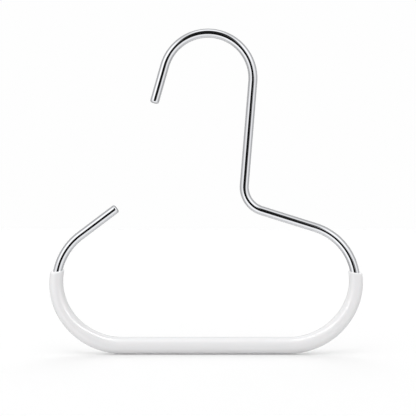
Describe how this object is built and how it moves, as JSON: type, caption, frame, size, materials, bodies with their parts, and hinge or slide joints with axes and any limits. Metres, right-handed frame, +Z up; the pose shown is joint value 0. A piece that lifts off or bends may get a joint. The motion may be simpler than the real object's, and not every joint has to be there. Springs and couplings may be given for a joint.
{
  "type": "scarf hanger",
  "caption": "Small scarf hanger: a chrome-plated wire bent into a rail hook and an open flattened loop, with a white soft vinyl grip along the loop's bar and lower corners.",
  "frame": {"origin": "centre of the hook's bend, where the axis of the rail that it hangs on passes, in the middle plane of the wire", "axes": "+Z up towards the top of the hook, +X to the right with the hook's tip on the left, +Y away from the viewer, through the plane of the wire"},
  "size_m": [0.1393, 0.0074, 0.1444],
  "materials": {
    "chrome_wire": "bright chrome plate on drawn steel wire",
    "white_vinyl": "white soft vinyl, dipped, satin gloss"
  },
  "bodies": {
    "root": {"bent_wire": "chrome_wire", "grip_sleeve": "white_vinyl"}
  },
  "joints": []
}
